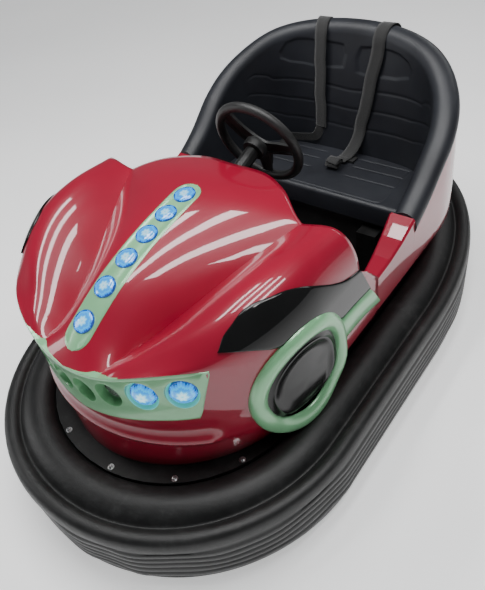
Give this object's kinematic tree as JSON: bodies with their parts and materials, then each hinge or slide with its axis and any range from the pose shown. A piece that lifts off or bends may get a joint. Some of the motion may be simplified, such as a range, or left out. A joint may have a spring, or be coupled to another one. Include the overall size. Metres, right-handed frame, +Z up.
{
  "type": "bumper car",
  "caption": "Fairground bumper car with a ring tyre, a moulded body, a bench seat, a steered drive wheel in front and free rear wheels.",
  "frame": {"origin": "on the ground under the middle of the ring tyre", "axes": "+Y to the rear, the front faces -Y, +X to the driver's left, +Z up"},
  "size_m": [1.15, 1.95, 0.8734],
  "materials": {
    "red_gloss": "deep gloss moulded shell",
    "mint_paint": "satin pale green",
    "gloss_black": "gloss",
    "matte_black": "matte",
    "tyre_rubber": "worn matte rubber",
    "wheel_rubber": "solid rubber",
    "seat_vinyl": "grained moulded skin",
    "webbing": "woven",
    "black_steel": "satin black",
    "steel": "plain",
    "blue_lens": "lit lens"
  },
  "bodies": {
    "chassis": {"bumper_tyre": "tyre_rubber", "tyre_rim": "black_steel", "floor_pan": "black_steel", "front_body": "red_gloss", "rear_body": "red_gloss", "bonnet_light_strip": "mint_paint", "front_light_bar": "mint_paint", "bonnet_lamp_1": "blue_lens", "bonnet_lamp_2": "blue_lens", "bonnet_lamp_3": "blue_lens", "bonnet_lamp_4": "blue_lens", "bonnet_lamp_5": "blue_lens", "bonnet_lamp_6": "blue_lens", "front_lamp_left_inner": "blue_lens", "front_lamp_left_outer": "blue_lens", "arch_ring_left": "mint_paint", "arch_disc_left": "matte_black", "side_flash_left": "gloss_black", "sill_left": "red_gloss", "rear_bracket_left": "black_steel", "belt_left": "webbing", "front_lamp_right_inner": "blue_lens", "front_lamp_right_outer": "blue_lens", "arch_ring_right": "mint_paint", "arch_disc_right": "matte_black", "side_flash_right": "gloss_black", "sill_right": "red_gloss", "rear_bracket_right": "black_steel", "belt_right": "webbing", "seat_back": "seat_vinyl", "seat_cushion": "seat_vinyl", "seat_front_panel": "matte_black", "battery_pack": "matte_black", "footwell_bracket": "black_steel", "steering_column": "black_steel", "column_post": "black_steel", "drive_bridge": "black_steel", "steering_gearbox": "steel", "accelerator_pedal": "black_steel", "belt_roll": "webbing", "belt_slider": "matte_black", "belt_clip": "matte_black"},
    "steering": {"steering_wheel": "matte_black"},
    "drive_unit": {"drive_fork": "black_steel", "drive_motor": "steel"},
    "drive_wheel": {"drive_wheel": "wheel_rubber"},
    "rear_wheel_left": {"rear_wheel_left": "wheel_rubber"},
    "rear_wheel_right": {"rear_wheel_right": "wheel_rubber"}
  },
  "joints": [
    {"name": "drive_steer", "type": "hinge", "parent": "chassis", "child": "drive_unit", "pos_m": [0, -0.43, 0], "axis": [0, 0, 1], "continuous": true},
    {"name": "steering_turn", "type": "hinge", "parent": "chassis", "child": "steering", "pos_m": [0, 0.078, 0.73], "axis": [0, 0.9563, 0.2924], "continuous": true},
    {"name": "drive_roll", "type": "hinge", "parent": "drive_unit", "child": "drive_wheel", "pos_m": [0, -0.43, 0.125], "axis": [1, 0, 0], "continuous": true},
    {"name": "rear_roll_left", "type": "hinge", "parent": "chassis", "child": "rear_wheel_left", "pos_m": [0.245, 0.46, 0.1], "axis": [1, 0, 0], "continuous": true},
    {"name": "rear_roll_right", "type": "hinge", "parent": "chassis", "child": "rear_wheel_right", "pos_m": [-0.245, 0.46, 0.1], "axis": [1, 0, 0], "continuous": true}
  ],
  "couplings": [
    {"joint": "steering_turn", "follows": "drive_steer", "ratio": 1}
  ]
}
